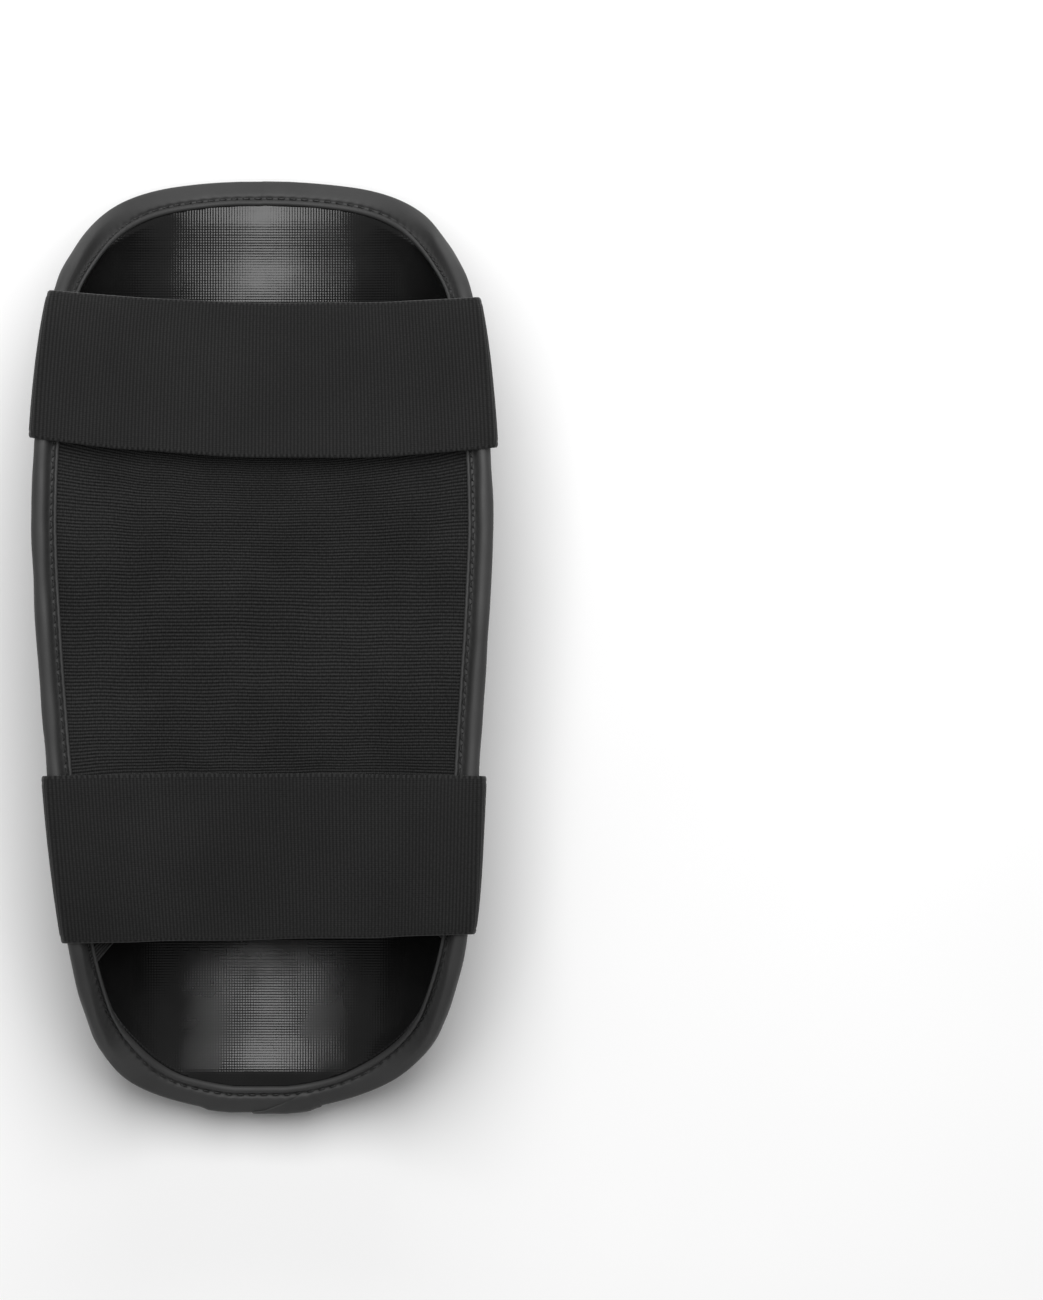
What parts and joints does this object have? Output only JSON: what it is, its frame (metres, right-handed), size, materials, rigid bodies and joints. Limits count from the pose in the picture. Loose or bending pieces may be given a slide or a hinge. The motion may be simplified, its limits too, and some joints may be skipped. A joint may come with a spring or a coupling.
{
  "type": "shin guard",
  "caption": "Padded shin guard with a raised shin ridge, a ribbed elastic calf panel and two wide elastic straps that close with hook and loop.",
  "frame": {"origin": "centre of the bounding box, on the plane that the shin ridge lies on", "axes": "+Y to the knee end, +Z out of the hollow towards the calf, +X to the side where the straps close"},
  "size_m": [0.1746, 0.3406, 0.0982],
  "materials": {
    "lining_vinyl": "satin",
    "foam": "matte",
    "cover_leather": "satin",
    "binding_tape": "satin",
    "thread": "matte",
    "plate_plastic": "matte",
    "rib_elastic": "matte",
    "strap_elastic": "matte",
    "hook_tape": "matte",
    "loop_tape": "matte"
  },
  "bodies": {
    "guard": {"lining": "lining_vinyl", "comfort_foam": "foam", "outer_cover": "cover_leather", "edge_binding": "binding_tape", "binding_stitching": "thread", "binding_end_fold": "binding_tape", "calf_panel": "rib_elastic", "front_plate": "plate_plastic", "front_foam": "foam", "front_cover": "cover_leather", "front_welt": "binding_tape", "ridge_foam": "foam", "ridge_cover": "cover_leather", "upper_anchor_patch": "cover_leather", "upper_strap_root": "strap_elastic", "upper_loop_patch": "loop_tape", "lower_anchor_patch": "cover_leather", "lower_strap_root": "strap_elastic", "lower_loop_patch": "loop_tape"},
    "upper_strap": {"upper_strap_band": "strap_elastic"},
    "upper_tab": {"upper_strap_tab": "strap_elastic", "upper_hook_patch": "hook_tape"},
    "lower_strap": {"lower_strap_band": "strap_elastic"},
    "lower_tab": {"lower_strap_tab": "strap_elastic", "lower_hook_patch": "hook_tape"}
  },
  "joints": [
    {"name": "upper_strap_swing", "type": "hinge", "parent": "guard", "child": "upper_strap", "pos_m": [-0.06775, 0.1031, 0.09202], "axis": [-0.1177, -0.9714, 0.2064], "range_deg": [0, 100]},
    {"name": "upper_strap_closure", "type": "hinge", "parent": "upper_strap", "child": "upper_tab", "pos_m": [0.08355, 0.1031, 0.08572], "axis": [0.1177, -0.9714, 0.2064], "range_deg": [0, 122]},
    {"name": "lower_strap_swing", "type": "hinge", "parent": "guard", "child": "lower_strap", "pos_m": [-0.06385, -0.0751, 0.09008], "axis": [0.0941, -0.9842, -0.1503], "range_deg": [0, 100]},
    {"name": "lower_strap_closure", "type": "hinge", "parent": "lower_strap", "child": "lower_tab", "pos_m": [0.07965, -0.0751, 0.08378], "axis": [-0.0941, -0.9842, -0.1503], "range_deg": [0, 122]}
  ],
  "couplings": [
    {"joint": "upper_strap_closure", "follows": "upper_strap_swing", "ratio": 1.2},
    {"joint": "lower_strap_closure", "follows": "lower_strap_swing", "ratio": 1.2}
  ]
}
